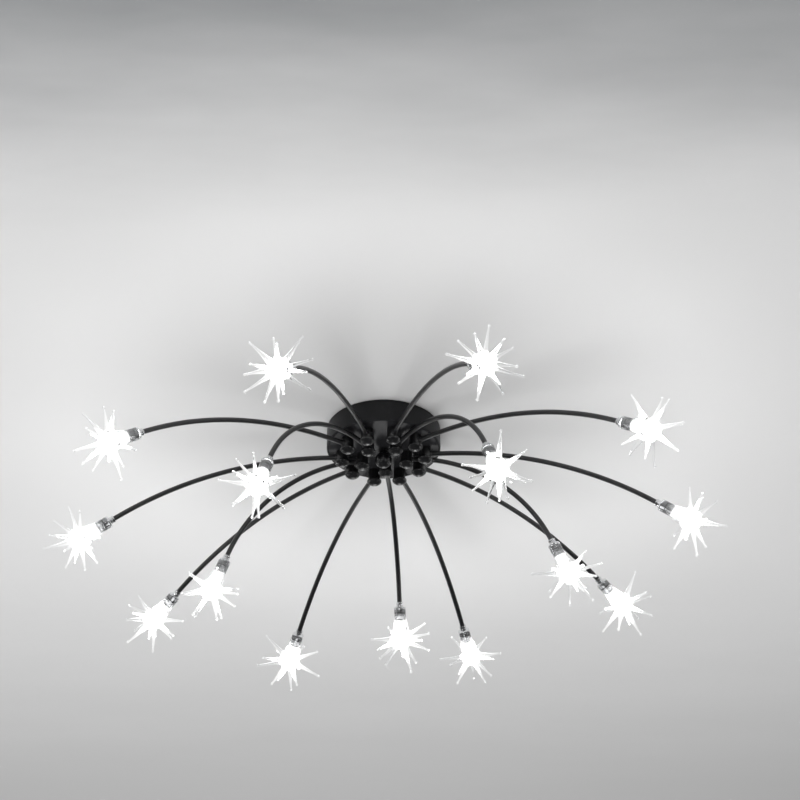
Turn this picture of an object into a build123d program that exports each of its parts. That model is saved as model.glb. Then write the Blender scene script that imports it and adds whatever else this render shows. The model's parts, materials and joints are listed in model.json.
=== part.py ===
from build123d import *
import os
from dataclasses import dataclass
from math import acos, atan2, cos, degrees, hypot, pi, radians, sin, sqrt, tan

# A ceiling light, in millimetres and degrees. +Z is up, the ceiling is the plane z = 0 and the origin is
# the canopy's centre on it. Ten long arms and five short ones swivel on hubs under a round canopy. Each arm
# ends in a metal lamp socket with a capsule bulb, and a star-shaped glass shade is pushed over the socket.

# Clearances
RUNNING_GAP = 0.05      # radial, hub on nipple
THREAD_GAP = 0.05       # radial, screw in its thread and tube in its brazed seat
HOLE_GAP = 0.2          # radial, shank in a plain hole
SEAT_GAP = 0.3          # between pieces that pull apart

# Canopy, a spun steel dish that is open towards the ceiling
CANOPY_RADIUS = 70.0
CANOPY_HEIGHT = 29.0
CANOPY_WALL = 1.2
CANOPY_FLOOR = 1.5
CANOPY_EDGE = 2.5       # rounding of its lower edge

# Rings of hubs: the inner ring stands half an outer pitch round
OUTER_COUNT = 10
OUTER_RING = 51.0
INNER_COUNT = 5
INNER_RING = 28.5
RING_TURN = -4.5
SWIVEL_REACH = 10.0     # of an arm to each side of straight out

# How far each arm is swivelled at rest, and how much steeper it rises than its ring's arms do
OUTER_AIMS = (1.0, 3.0, 5.0, 8.0, 5.5, 0.5, 2.5, 6.0, 4.5, 5.5)
INNER_AIMS = (-1.5, -1.0, 1.5, 2.0, 3.0)
OUTER_LIFTS = (0.0, 1.25, 0.75, -1.25, -2.0, 0.5, -0.25, -0.25, 0.75, 1.25)
INNER_LIFTS = (0.75, 0.75, -1.0, -1.75, 1.25)

# Arms: a straight start, one bend and a straight end
TUBE_RADIUS = 3.0
TUBE_BORE = 2.2
TUBE_INSERT = 4.6       # from the hub's axis to the tube's inner end
BEND_START = 9.0        # from the hub's axis to the start of the bend
BEND_END_RUN = 6.0      # straight run between the bend and the socket
OUTER_ENTRY_DROP = 8.6  # of the tube's axis below the canopy
OUTER_RISE = 2.2
OUTER_BEND_RADIUS = 444.0
OUTER_BEND_TURN = 36.1
INNER_ENTRY_DROP = 9.6
INNER_RISE = 8.6
INNER_BEND_RADIUS = 160.0
INNER_BEND_TURN = 73.9

# Nipples, the hollow threaded tubes that carry the hubs, with their washers and nuts
NIPPLE_RADIUS = 4.0
NIPPLE_BORE = 2.5
NIPPLE_PROUD = 0.6      # past its nut at either end
WASHER_RADIUS = 7.4
WASHER_THICK = 1.0
LOCK_NUT_FLATS = 12.0
LOCK_NUT_THICK = 3.4
FRICTION_WASHER_THICK = 0.5
RETAINER_THICK = 2.4

# Hubs and their domed caps
HUB_RADIUS = 7.2
HUB_CAVITY = 6.0
HUB_SHOULDER = 2.0
HUB_LENGTH = 13.5
CAP_RADIUS = 9.0
CAP_BAND = 2.2
CAP_DOME = 4.6
CAP_SPIGOT = 2.5
RETAINER_GAP = 0.3      # radial, retainer in the hub's cavity

# Crossbar, centre rod and finial, which hold the canopy to the ceiling
CROSSBAR_LENGTH = 130.0
CROSSBAR_WIDTH = 20.0
CROSSBAR_THICK = 2.0
SCREW_SPACING = 88.0
SCREW_HOLE_RADIUS = 2.5
ROD_RADIUS = 3.0
ROD_INSET = 0.3         # of its top below the ceiling
ROD_NUT_FLATS = 10.0
ROD_NUT_THICK = 5.0
FINIAL_STEM_RADIUS = 5.0
FINIAL_RADIUS = 10.4
FINIAL_DROP = 14.2      # of the ball's centre below the canopy
FINIAL_THREAD = 12.0    # depth of its threaded hole

# Driver, terminal block and the small screws that hold them under the crossbar
DRIVER_LENGTH = 72.0
DRIVER_WIDTH = 32.0
DRIVER_HEIGHT = 14.0
DRIVER_ROUND = 2.0
DRIVER_SIDE_GAP = 1.5   # between its case and the crossbar's edge
EAR_LENGTH = 10.0
EAR_THICK = 1.6
EAR_REACH = 7.0         # under the crossbar
EAR_SPACING = 44.0
BLOCK_LENGTH = 20.0
BLOCK_WIDTH = 11.0
BLOCK_HEIGHT = 11.0
BLOCK_OFFSET = 24.0     # of its centre from the rod
BLOCK_EAR_GAP = 2.0     # between it and the driver's ears
BLOCK_WAYS = 3
BLOCK_WAY_RADIUS = 1.3
BLOCK_WAY_SPREAD = 3.6
SMALL_SCREW_RADIUS = 1.5
SMALL_HEAD_RADIUS = 2.8
SMALL_HEAD_HEIGHT = 2.0
SMALL_SCREW_INSET = 0.3  # of its end below the ceiling
EARTH_SCREW_OFFSET = 58.0

# Wiring
LEAD_RADIUS = 1.1
LEAD_BEND = 2.6
LEAD_SPLIT_RISE = 2.0   # of the swivel's split in a lead above the hub's shoulder
LEAD_ARCH = 3.0         # bend of a lead over the nuts in the canopy
LOOM_WIDTH = 4.8
LOOM_HEIGHT = 4.0
RISER_TURN = 60.0       # of the lead from the loom to the driver
MAINS_NUT_GAP = 2.5     # between a mains lead and the rod's nut

# Lamp socket, along its own axis from where the painted tube ends
COLLAR_BACK = 1.5
COLLAR_RADIUS = 4.4
COLLAR_LENGTH = 5.0
TUBE_SEAT = 4.0         # of the tube in the collar
FLANGE_RADIUS = 7.5
FLANGE_THICK = 1.5
CUP_RADIUS = 5.0
CUP_WALL = 1.0
CUP_LENGTH = 15.5
CUP_FLOOR = 1.5
GRIP_OFFSET = 6.0       # of the grip ring from the flange
GRIP_SECTION = 0.5
HOLDER_LENGTH = 11.5
PIN_SPACING = 4.0
PIN_RADIUS = 0.35
PIN_LENGTH = 6.0

# Capsule bulb
BULB_BASE_RADIUS = 3.6
BULB_BASE_LENGTH = 3.4
BULB_RADIUS = 4.2
BULB_LENGTH = 14.0

# Star shade: a neck that flares into a hollow ball, with drawn spikes welded to flats round it
NECK_WALL = 1.95
NECK_LENGTH = 13.0
STAR_DISTANCE = 46.0    # of the ball's centre from the end of the painted tube
STAR_RADIUS = 13.0
STAR_WALL = 3.0
SPIKE_COUNT = 14
SPIKE_FLAT_RIM = 0.5    # of a flat past its spike's root
SPIKE_REACHES = (46.0, 40.0, 43.0, 36.0)
SPIKE_ROOT_RADII = (4.5, 3.7, 4.1)
SPIKE_TIP_RADIUS = 1.6
SPIKE_BACK_ANGLE = 122.0  # of the last spikes from straight ahead
GOLDEN_ANGLE = 137.508
STAR_PULL = 45.0        # travel that takes the shade off its socket

# Levels and sizes that follow from those above
CANOPY_UNDER = -CANOPY_HEIGHT
FLOOR_TOP = CANOPY_UNDER + CANOPY_FLOOR
NIPPLE_TOP = FLOOR_TOP + WASHER_THICK + LOCK_NUT_THICK + NIPPLE_PROUD
HUB_TOP = CANOPY_UNDER - FRICTION_WASHER_THICK
SHOULDER_UNDER = HUB_TOP - HUB_SHOULDER
HUB_BOTTOM = HUB_TOP - HUB_LENGTH
NIPPLE_BOTTOM = SHOULDER_UNDER - RETAINER_THICK - NIPPLE_PROUD
LEAD_SPLIT = SHOULDER_UNDER + LEAD_SPLIT_RISE
CROSSBAR_UNDER = -CROSSBAR_THICK
DRIVER_NEAR = CROSSBAR_WIDTH / 2 + DRIVER_SIDE_GAP
DRIVER_UNDER = CROSSBAR_UNDER - DRIVER_HEIGHT
EAR_SCREW_Y = CROSSBAR_WIDTH / 2 - EAR_REACH / 2
BLOCK_Y = EAR_SCREW_Y - EAR_REACH / 2 - BLOCK_EAR_GAP - BLOCK_WIDTH / 2
LOOM_RING = (OUTER_RING + INNER_RING) / 2
LOOM_TOP = FLOOR_TOP + LOOM_HEIGHT
FLANGE_FACE = COLLAR_LENGTH + FLANGE_THICK
CUP_MOUTH = FLANGE_FACE + CUP_LENGTH
CUP_BORE = CUP_RADIUS - CUP_WALL
CUP_FLOOR_TOP = FLANGE_FACE + CUP_FLOOR
HOLDER_FRONT = CUP_FLOOR_TOP + HOLDER_LENGTH
GRIP_RING = CUP_RADIUS
GRIP_GROOVE = GRIP_RING - GRIP_SECTION
NECK_BORE = GRIP_RING + GRIP_SECTION + THREAD_GAP
NECK_START = FLANGE_FACE + SEAT_GAP


@dataclass
class Ring:
    """A ring of hubs and the shape of its arms."""
    count: int
    radius: float
    turn: float
    aims: tuple
    lifts: tuple
    entry_z: float
    rise: float
    bend_radius: float
    bend_turn: float


class Arm:
    """One arm of a ring. Its own frame has the hub's axis as Z, and the arm reaches along X."""

    def __init__(self, ring, k):
        self.ring = ring
        self.post = ring.turn + 360 / ring.count * k
        self.aim = ring.aims[k % len(ring.aims)]
        self.rise = ring.rise + ring.lifts[k % len(ring.lifts)]
        self.fall = self.rise - ring.bend_turn
        self.hub_place = Rot(0, 0, self.post) * Pos(ring.radius, 0, 0)
        self.place = self.hub_place * Rot(0, 0, self.aim)

    def start_direction(self):
        return cos(radians(self.rise)), sin(radians(self.rise))

    def end_direction(self):
        return cos(radians(self.fall)), sin(radians(self.fall))

    def along_start(self, distance):
        """Point on the arm's first run, as (reach, height)."""
        dx, dz = self.start_direction()
        return dx * distance, self.ring.entry_z + dz * distance

    def bend_end(self):
        x, z = self.along_start(BEND_START)
        start, end = radians(self.rise), radians(self.fall)
        radius = self.ring.bend_radius
        return x + radius * (sin(start) - sin(end)), z + radius * (cos(end) - cos(start))

    def along_end(self, distance):
        """Point on the arm's last run, from the end of the painted tube."""
        x, z = self.bend_end()
        dx, dz = self.end_direction()
        return x + dx * (BEND_END_RUN + distance), z + dz * (BEND_END_RUN + distance)

    def head(self):
        """Plane at the end of the painted tube, with Z along the socket."""
        x, z = self.along_end(0)
        dx, dz = self.end_direction()
        return Plane(origin=(x, 0, z), x_dir=(0, 1, 0), z_dir=(dx, 0, dz))

    def bend(self):
        """The bend's centre line, in the arm's own plane."""
        start = self.along_start(BEND_START)
        return JernArc(start, self.start_direction(), self.ring.bend_radius, -self.ring.bend_turn)


OUTER = Ring(OUTER_COUNT, OUTER_RING, RING_TURN, OUTER_AIMS, OUTER_LIFTS, CANOPY_UNDER - OUTER_ENTRY_DROP,
             OUTER_RISE, OUTER_BEND_RADIUS, OUTER_BEND_TURN)
INNER = Ring(INNER_COUNT, INNER_RING, RING_TURN + 180 / OUTER_COUNT, INNER_AIMS, INNER_LIFTS,
             CANOPY_UNDER - INNER_ENTRY_DROP, INNER_RISE, INNER_BEND_RADIUS, INNER_BEND_TURN)
ARMS = [Arm(ring, k) for ring in (OUTER, INNER) for k in range(ring.count)]


# Shapes that several pieces share

def rod(radius, low, high):
    """Cylinder on the Z axis between two heights."""
    return Pos(0, 0, (low + high) / 2) * Cylinder(radius, high - low)


def ring(radius, bore, low, high):
    """Plain ring on the Z axis between two heights."""
    return rod(radius, low, high) - rod(bore, low, high)


def hex_nut(flats, bore, low, high):
    """Hexagon nut on the Z axis between two heights."""
    hexagon = RegularPolygon(flats / 2, 6, major_radius=False)
    return Pos(0, 0, low) * extrude(hexagon, high - low) - rod(bore, low, high)


def turned(*lines):
    """Solid turned about Z from a closed outline of (radius, height) lines and arcs."""
    return revolve(Plane.XZ * make_face(list(lines)), Axis.Z)


def swept(path, radius, bore=0):
    """Round wire or tube along a path in the arm's own plane of (reach, height)."""
    line = Plane.XZ * path
    section = Circle(radius) - Circle(bore) if bore else Circle(radius)
    return sweep(Plane(origin=line @ 0, z_dir=line % 0) * section, path=line)


def at_hubs(solid):
    """One copy of a solid on each hub's axis."""
    return [arm.hub_place * solid for arm in ARMS]


def group(solids):
    """Separate solids that share one node."""
    return Compound([s.solid() for s in solids])


# What stays on the ceiling

def make_canopy():
    r, wall, edge = CANOPY_RADIUS, CANOPY_WALL, CANOPY_EDGE
    inside_edge = max(edge - wall, 0.1)
    outside = [
        Line((0, FLOOR_TOP), (0, CANOPY_UNDER)),
        Line((0, CANOPY_UNDER), (r - edge, CANOPY_UNDER)),
        JernArc((r - edge, CANOPY_UNDER), (1, 0), edge, 90),
        Line((r, CANOPY_UNDER + edge), (r, 0)),
    ]
    inside = [
        Line((r, 0), (r - wall, 0)),
        Line((r - wall, 0), (r - wall, FLOOR_TOP + inside_edge)),
        JernArc((r - wall, FLOOR_TOP + inside_edge), (0, -1), inside_edge, -90),
        Line((r - wall - inside_edge, FLOOR_TOP), (0, FLOOR_TOP)),
    ]
    holes = at_hubs(rod(NIPPLE_RADIUS + HOLE_GAP, CANOPY_UNDER, FLOOR_TOP))
    return turned(*outside, *inside) - holes - rod(ROD_RADIUS + HOLE_GAP, CANOPY_UNDER, FLOOR_TOP)


def small_screw_places():
    """(x, y, height under the head) of the screws into the crossbar."""
    ear = CROSSBAR_UNDER - EAR_THICK
    return [
        (-EAR_SPACING / 2, EAR_SCREW_Y, ear),
        (EAR_SPACING / 2, EAR_SCREW_Y, ear),
        (-BLOCK_OFFSET, BLOCK_Y, CROSSBAR_UNDER - BLOCK_HEIGHT),
        (-EARTH_SCREW_OFFSET, 0, CROSSBAR_UNDER),
    ]


def make_crossbar():
    bar = Pos(0, 0, CROSSBAR_UNDER) * extrude(
        Rectangle(CROSSBAR_LENGTH, CROSSBAR_WIDTH) & Circle(CROSSBAR_LENGTH / 2), CROSSBAR_THICK)
    holes = [rod(ROD_RADIUS + THREAD_GAP, CROSSBAR_UNDER, 0)]
    for side in (-1, 1):
        holes.append(Pos(side * SCREW_SPACING / 2, 0, 0) * rod(SCREW_HOLE_RADIUS, CROSSBAR_UNDER, 0))
    for x, y, _ in small_screw_places():
        holes.append(Pos(x, y, 0) * rod(SMALL_SCREW_RADIUS + THREAD_GAP, CROSSBAR_UNDER, 0))
    return bar - holes


def make_small_screws():
    screws = []
    for x, y, seat in small_screw_places():
        head = rod(SMALL_HEAD_RADIUS, seat - SMALL_HEAD_HEIGHT, seat)
        screws.append(Pos(x, y, 0) * (head + rod(SMALL_SCREW_RADIUS, seat, -SMALL_SCREW_INSET)))
    return group(screws)


def make_centre_rod():
    return rod(ROD_RADIUS, finial_thread_end() + SEAT_GAP, -ROD_INSET)


def make_rod_nut():
    return hex_nut(ROD_NUT_FLATS, ROD_RADIUS + THREAD_GAP, CROSSBAR_UNDER - ROD_NUT_THICK, CROSSBAR_UNDER)


def finial_thread_end():
    return CANOPY_UNDER - FINIAL_THREAD


def make_finial():
    centre = CANOPY_UNDER - FINIAL_DROP
    shoulder = centre + sqrt(FINIAL_RADIUS ** 2 - FINIAL_STEM_RADIUS ** 2)
    bore = ROD_RADIUS + THREAD_GAP
    return turned(
        Polyline((0, centre - FINIAL_RADIUS), (0, finial_thread_end()), (bore, finial_thread_end()),
                 (bore, CANOPY_UNDER), (FINIAL_STEM_RADIUS, CANOPY_UNDER), (FINIAL_STEM_RADIUS, shoulder)),
        ThreePointArc((FINIAL_STEM_RADIUS, shoulder), (FINIAL_RADIUS, centre), (0, centre - FINIAL_RADIUS)))


def make_nipples():
    return group(at_hubs(ring(NIPPLE_RADIUS, NIPPLE_BORE, NIPPLE_BOTTOM, NIPPLE_TOP)))


def make_washers():
    return group(at_hubs(ring(WASHER_RADIUS, NIPPLE_RADIUS + HOLE_GAP, FLOOR_TOP, FLOOR_TOP + WASHER_THICK)))


def make_lock_nuts():
    low = FLOOR_TOP + WASHER_THICK
    return group(at_hubs(hex_nut(LOCK_NUT_FLATS, NIPPLE_RADIUS + THREAD_GAP, low, low + LOCK_NUT_THICK)))


def make_friction_washers():
    return group(at_hubs(ring(HUB_RADIUS, NIPPLE_RADIUS + HOLE_GAP, HUB_TOP, CANOPY_UNDER)))


def make_retainers():
    radius = HUB_CAVITY - RETAINER_GAP
    low = SHOULDER_UNDER - RETAINER_THICK
    return group(at_hubs(ring(radius, NIPPLE_RADIUS + THREAD_GAP, low, SHOULDER_UNDER)))


def make_driver():
    middle = (0, DRIVER_NEAR + DRIVER_WIDTH / 2, (CROSSBAR_UNDER + DRIVER_UNDER) / 2)
    block = Box(DRIVER_LENGTH, DRIVER_WIDTH, DRIVER_HEIGHT)
    case = Pos(*middle) * fillet(block.edges().filter_by(Axis.Z), DRIVER_ROUND)
    reach = EAR_REACH + DRIVER_SIDE_GAP
    ear = Box(EAR_LENGTH, reach, EAR_THICK) - Pos(0, EAR_SCREW_Y - (DRIVER_NEAR - reach / 2), 0) * Cylinder(
        SMALL_SCREW_RADIUS + HOLE_GAP, EAR_THICK)
    for side in (-1, 1):
        case += Pos(side * EAR_SPACING / 2, DRIVER_NEAR - reach / 2, CROSSBAR_UNDER - EAR_THICK / 2) * ear
    return case


def way_y(n):
    """Where way n of the terminal block lies across the crossbar."""
    return BLOCK_Y + (n - (BLOCK_WAYS - 1) / 2) * BLOCK_WAY_SPREAD


def make_terminal_block():
    middle = CROSSBAR_UNDER - BLOCK_HEIGHT / 2
    block = Pos(-BLOCK_OFFSET, BLOCK_Y, middle) * Box(BLOCK_LENGTH, BLOCK_WIDTH, BLOCK_HEIGHT)
    way = Rot(0, 90, 0) * Cylinder(BLOCK_WAY_RADIUS, BLOCK_LENGTH / 4)
    ways = [Pos(-BLOCK_OFFSET - BLOCK_LENGTH * 3 / 8, way_y(n), middle) * way for n in range(BLOCK_WAYS)]
    hole = Pos(-BLOCK_OFFSET, BLOCK_Y, 0) * rod(
        SMALL_SCREW_RADIUS + HOLE_GAP, CROSSBAR_UNDER - BLOCK_HEIGHT, CROSSBAR_UNDER)
    return block - ways - hole


def make_mains_leads():
    """Two leads from the terminal block to the driver's near side, one on each side of the rod's nut."""
    start = BLOCK_LENGTH / 2 - BLOCK_OFFSET
    clear = ROD_NUT_FLATS / sqrt(3) + MAINS_NUT_GAP + LEAD_RADIUS
    leads = []
    for y, turn_x in ((way_y(0), clear), (way_y(BLOCK_WAYS - 1), -clear)):
        path = FilletPolyline((start, y), (turn_x, y), (turn_x, DRIVER_NEAR), radius=LEAD_BEND)
        line = Pos(0, 0, CROSSBAR_UNDER - BLOCK_HEIGHT / 2) * path
        leads.append(sweep(Plane(origin=line @ 0, z_dir=line % 0) * Circle(LEAD_RADIUS), path=line))
    return group(leads)


def make_loom():
    """Taped ring of leads on the canopy's floor, a lead over each nipple's nut and a riser to the driver."""
    root = LOOM_TOP - LOOM_HEIGHT / 2
    arch_top = NIPPLE_TOP + NIPPLE_PROUD + LEAD_ARCH
    leads = [Rot(0, 0, RISER_TURN) * Pos(LOOM_RING, 0, 0) * rod(LEAD_RADIUS, root, DRIVER_UNDER)]
    for arm in ARMS:
        reach = LOOM_RING - arm.ring.radius
        corners = [(0, LEAD_SPLIT), (0, arch_top), (reach, arch_top), (reach, root)]
        leads.append(arm.hub_place * swept(FilletPolyline(*corners, radius=LEAD_ARCH), LEAD_RADIUS))
    half = LOOM_WIDTH / 2
    return ring(LOOM_RING + half, LOOM_RING - half, FLOOR_TOP, LOOM_TOP).fuse(*leads)


# What swivels: hub, cap, tube and lead of an arm

def make_hub(arm):
    hub = ring(HUB_RADIUS, NIPPLE_RADIUS + RUNNING_GAP, HUB_BOTTOM, HUB_TOP)
    hub -= rod(HUB_CAVITY, HUB_BOTTOM, SHOULDER_UNDER)
    dx, dz = arm.start_direction()
    entry = Plane(origin=(0, 0, arm.ring.entry_z), x_dir=(0, 1, 0), z_dir=(dx, 0, dz))
    return hub - entry * rod(TUBE_RADIUS + THREAD_GAP, 0, HUB_RADIUS * 2)


def make_cap():
    spigot = HUB_CAVITY - THREAD_GAP
    band = HUB_BOTTOM - CAP_BAND
    ball = (CAP_RADIUS ** 2 + CAP_DOME ** 2) / (2 * CAP_DOME)
    half = acos((ball - CAP_DOME) / ball) / 2
    on_dome = (ball * sin(half), band - CAP_DOME + ball * (1 - cos(half)))
    return turned(
        Polyline((0, band - CAP_DOME), (0, HUB_BOTTOM + CAP_SPIGOT), (spigot, HUB_BOTTOM + CAP_SPIGOT),
                 (spigot, HUB_BOTTOM), (CAP_RADIUS, HUB_BOTTOM), (CAP_RADIUS, band)),
        ThreePointArc((CAP_RADIUS, band), on_dome, (0, band - CAP_DOME)))


def make_tube(arm):
    first = Line(arm.along_start(TUBE_INSERT), arm.along_start(BEND_START))
    last = Line(arm.bend_end(), arm.along_end(TUBE_SEAT))
    return swept(Wire([first, arm.bend(), last]), TUBE_RADIUS, TUBE_BORE)


def make_arm_lead(arm):
    """Lead from the swivel's split, down into the hub and along the tube to the lamp holder."""
    tangent = LEAD_BEND * tan(radians(90 + arm.rise) / 2)
    bend_top = (0, arm.ring.entry_z + tangent)
    return swept(Wire([
        Line((0, LEAD_SPLIT), bend_top),
        JernArc(bend_top, (0, -1), LEAD_BEND, 90 + arm.rise),
        Line(arm.along_start(tangent), arm.along_start(BEND_START)),
        arm.bend(),
        Line(arm.bend_end(), arm.along_end(CUP_FLOOR_TOP)),
    ]), LEAD_RADIUS)


# What is at the end of an arm, in the socket's own frame

def make_collar():
    """Turned collar on the tube's end, with the flange that the glass neck stands on."""
    seat = TUBE_RADIUS + THREAD_GAP
    lead_hole = LEAD_RADIUS + HOLE_GAP
    return turned(Polyline(
        (seat, -COLLAR_BACK), (COLLAR_RADIUS, -COLLAR_BACK), (COLLAR_RADIUS, COLLAR_LENGTH),
        (FLANGE_RADIUS, COLLAR_LENGTH), (FLANGE_RADIUS, FLANGE_FACE), (lead_hole, FLANGE_FACE),
        (lead_hole, TUBE_SEAT), (seat, TUBE_SEAT), close=True))


def make_cup():
    """Drawn cup brazed to the flange, with a groove for the grip ring."""
    lead_hole = LEAD_RADIUS + HOLE_GAP
    groove_low = FLANGE_FACE + GRIP_OFFSET - GRIP_SECTION
    groove_high = FLANGE_FACE + GRIP_OFFSET + GRIP_SECTION
    return turned(Polyline(
        (lead_hole, FLANGE_FACE), (CUP_RADIUS, FLANGE_FACE), (CUP_RADIUS, groove_low),
        (GRIP_GROOVE, groove_low), (GRIP_GROOVE, groove_high), (CUP_RADIUS, groove_high),
        (CUP_RADIUS, CUP_MOUTH), (CUP_BORE, CUP_MOUTH), (CUP_BORE, CUP_FLOOR_TOP),
        (lead_hole, CUP_FLOOR_TOP), close=True))


def make_grip_ring():
    return Pos(0, 0, FLANGE_FACE + GRIP_OFFSET) * Torus(GRIP_RING, GRIP_SECTION)


def pins(radius, low, high):
    return [Pos(side * PIN_SPACING / 2, 0, 0) * rod(radius, low, high) for side in (-1, 1)]


def make_holder():
    body = rod(CUP_BORE - THREAD_GAP, CUP_FLOOR_TOP, HOLDER_FRONT)
    return body - pins(PIN_RADIUS + HOLE_GAP, HOLDER_FRONT - PIN_LENGTH, HOLDER_FRONT)


def make_bulb():
    base_end = HOLDER_FRONT + BULB_BASE_LENGTH
    glass_end = base_end + BULB_LENGTH
    bulb = rod(BULB_BASE_RADIUS, HOLDER_FRONT, base_end) + rod(BULB_RADIUS, base_end, glass_end)
    bulb += Pos(0, 0, glass_end) * Sphere(BULB_RADIUS)
    return bulb + pins(PIN_RADIUS, HOLDER_FRONT - PIN_LENGTH + SEAT_GAP, HOLDER_FRONT)


def spike_kinds():
    """Place, reach and root radius of each spike. A spike's own Z runs out from the ball's centre."""
    for n in range(SPIKE_COUNT):
        share = (n + 0.5) / SPIKE_COUNT
        lean = degrees(acos(1 - share * (1 - cos(radians(SPIKE_BACK_ANGLE)))))
        place = Pos(0, 0, STAR_DISTANCE) * Rot(0, 0, n * GOLDEN_ANGLE) * Rot(0, lean, 0)
        yield place, SPIKE_REACHES[n % len(SPIKE_REACHES)], SPIKE_ROOT_RADII[n % len(SPIKE_ROOT_RADII)]


def spike_seat(root_radius):
    """Distance from the ball's centre of the flat that a spike of this root just covers."""
    return sqrt(STAR_RADIUS ** 2 - root_radius ** 2)


def make_spike(reach, root_radius):
    """Tapered spike along Z from its flat on the ball to a round tip."""
    seat = spike_seat(root_radius)
    tip = reach - SPIKE_TIP_RADIUS
    return turned(
        Polyline((0, reach), (0, seat), (root_radius, seat), (SPIKE_TIP_RADIUS, tip)),
        JernArc((SPIKE_TIP_RADIUS, tip), (0, 1), SPIKE_TIP_RADIUS, 90))


def make_star_shell():
    """Blown neck and ball. The neck's outside runs to the ball along a tangent."""
    neck = NECK_BORE + NECK_WALL
    neck_end = NECK_START + NECK_LENGTH
    drop = STAR_DISTANCE - neck_end
    turn = atan2(neck, drop) + acos(STAR_RADIUS / hypot(neck, drop))
    touch = (STAR_RADIUS * sin(turn), STAR_DISTANCE - STAR_RADIUS * cos(turn))
    cavity = STAR_RADIUS - STAR_WALL
    mouth = STAR_DISTANCE - sqrt(cavity ** 2 - NECK_BORE ** 2)
    half = (turn + pi) / 2
    on_ball = (STAR_RADIUS * sin(half), STAR_DISTANCE - STAR_RADIUS * cos(half))
    shell = turned(
        Polyline((NECK_BORE, mouth), (NECK_BORE, NECK_START), (neck, NECK_START), (neck, neck_end), touch),
        ThreePointArc(touch, on_ball, (0, STAR_DISTANCE + STAR_RADIUS)),
        Line((0, STAR_DISTANCE + STAR_RADIUS), (0, STAR_DISTANCE + cavity)),
        ThreePointArc((0, STAR_DISTANCE + cavity), (cavity, STAR_DISTANCE), (NECK_BORE, mouth)))
    flats = [place * rod(root + SPIKE_FLAT_RIM, spike_seat(root), 2 * STAR_RADIUS)
             for place, _, root in spike_kinds()]
    return shell - flats


def make_star():
    """The shell with its spikes, each a solid of its own."""
    return [make_star_shell()] + [place * make_spike(reach, root) for place, reach, root in spike_kinds()]


def make_parts():
    """Every node's name with its shape."""
    parts = {
        "canopy": make_canopy(),
        "crossbar": make_crossbar(),
        "small_screws": make_small_screws(),
        "centre_rod": make_centre_rod(),
        "rod_nut": make_rod_nut(),
        "centre_finial": make_finial(),
        "nipples": make_nipples(),
        "nipple_washers": make_washers(),
        "nipple_lock_nuts": make_lock_nuts(),
        "friction_washers": make_friction_washers(),
        "hub_retainers": make_retainers(),
        "led_driver": make_driver(),
        "terminal_block": make_terminal_block(),
        "mains_leads": make_mains_leads(),
        "wiring_loom": make_loom(),
    }
    cap, star = make_cap(), make_star()
    lamp = [make_collar(), make_cup(), make_grip_ring(), make_holder(), make_bulb()]
    for number, arm in enumerate(ARMS, 1):
        head = arm.place * arm.head().location
        wired = [make_hub(arm), cap, make_tube(arm), make_arm_lead(arm)]
        parts[f"arm_{number:02d}"] = group([arm.place * s for s in wired])
        parts[f"lamp_socket_{number:02d}"] = group([head * s for s in lamp])
        spin = head * Rot(0, 0, GOLDEN_ANGLE * number)
        parts[f"star_shade_{number:02d}"] = group([spin * s for s in star])
    return parts


def main():
    os.makedirs("parts", exist_ok=True)
    for name, shape in make_parts().items():
        export_step(shape, f"parts/{name}.step")


if __name__ == "__main__":
    main()
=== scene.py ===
"""Dresses a ceiling light.

Curved arms on swivel hubs hang under a drum canopy, and each ends in a lit star of clear glass.
"""

import json
from dataclasses import dataclass
from math import acos, asin, atan2, cos, hypot, pi, radians, sin, sqrt

import bmesh
import bpy
from bpy.props import FloatProperty, FloatVectorProperty, IntProperty, PointerProperty
from bpy.types import Operator, Panel, PropertyGroup
from mathutils import Matrix, Vector

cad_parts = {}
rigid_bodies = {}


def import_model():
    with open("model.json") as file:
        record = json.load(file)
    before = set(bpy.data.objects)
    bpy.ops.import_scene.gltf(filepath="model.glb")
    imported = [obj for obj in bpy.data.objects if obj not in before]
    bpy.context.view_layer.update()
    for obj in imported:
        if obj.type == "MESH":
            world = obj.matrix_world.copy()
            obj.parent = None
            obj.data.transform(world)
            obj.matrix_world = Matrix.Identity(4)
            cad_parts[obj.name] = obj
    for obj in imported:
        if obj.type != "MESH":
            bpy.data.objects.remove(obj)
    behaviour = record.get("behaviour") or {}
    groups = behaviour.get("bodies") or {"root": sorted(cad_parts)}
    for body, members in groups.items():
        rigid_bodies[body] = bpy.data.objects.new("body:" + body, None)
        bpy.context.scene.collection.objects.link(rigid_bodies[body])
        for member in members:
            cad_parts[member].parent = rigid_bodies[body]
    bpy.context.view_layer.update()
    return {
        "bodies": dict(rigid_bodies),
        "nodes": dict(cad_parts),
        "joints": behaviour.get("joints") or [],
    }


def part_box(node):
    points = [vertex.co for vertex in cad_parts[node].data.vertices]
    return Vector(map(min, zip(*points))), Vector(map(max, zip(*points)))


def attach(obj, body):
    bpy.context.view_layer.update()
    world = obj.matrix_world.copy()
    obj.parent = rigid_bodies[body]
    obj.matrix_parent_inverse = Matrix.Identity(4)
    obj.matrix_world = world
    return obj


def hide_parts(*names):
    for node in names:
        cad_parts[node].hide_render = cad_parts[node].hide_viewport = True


bl_info = {
    "name": "Star Ceiling Light",
    "version": (1, 0, 0),
    "blender": (4, 5, 0),
    "location": "View3D > Sidebar > Star Light",
    "description": "Dresses a ceiling light with swivel arms and glass star shades",
    "category": "Object",
}

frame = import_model()
CANOPY_LOW, CANOPY_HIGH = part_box("canopy")
FINIAL_LOW, FINIAL_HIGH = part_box("centre_finial")
ROOT_BODY = "canopy_frame"
MM = 0.001
TINY = 1e-7  # metres, under which a radius counts as none
GOLDEN_ANGLE = radians(137.508)
GLOW = "glow"  # attribute that says how much painted glow a point of a star's glass gives


# Settings that a user would change

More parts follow.
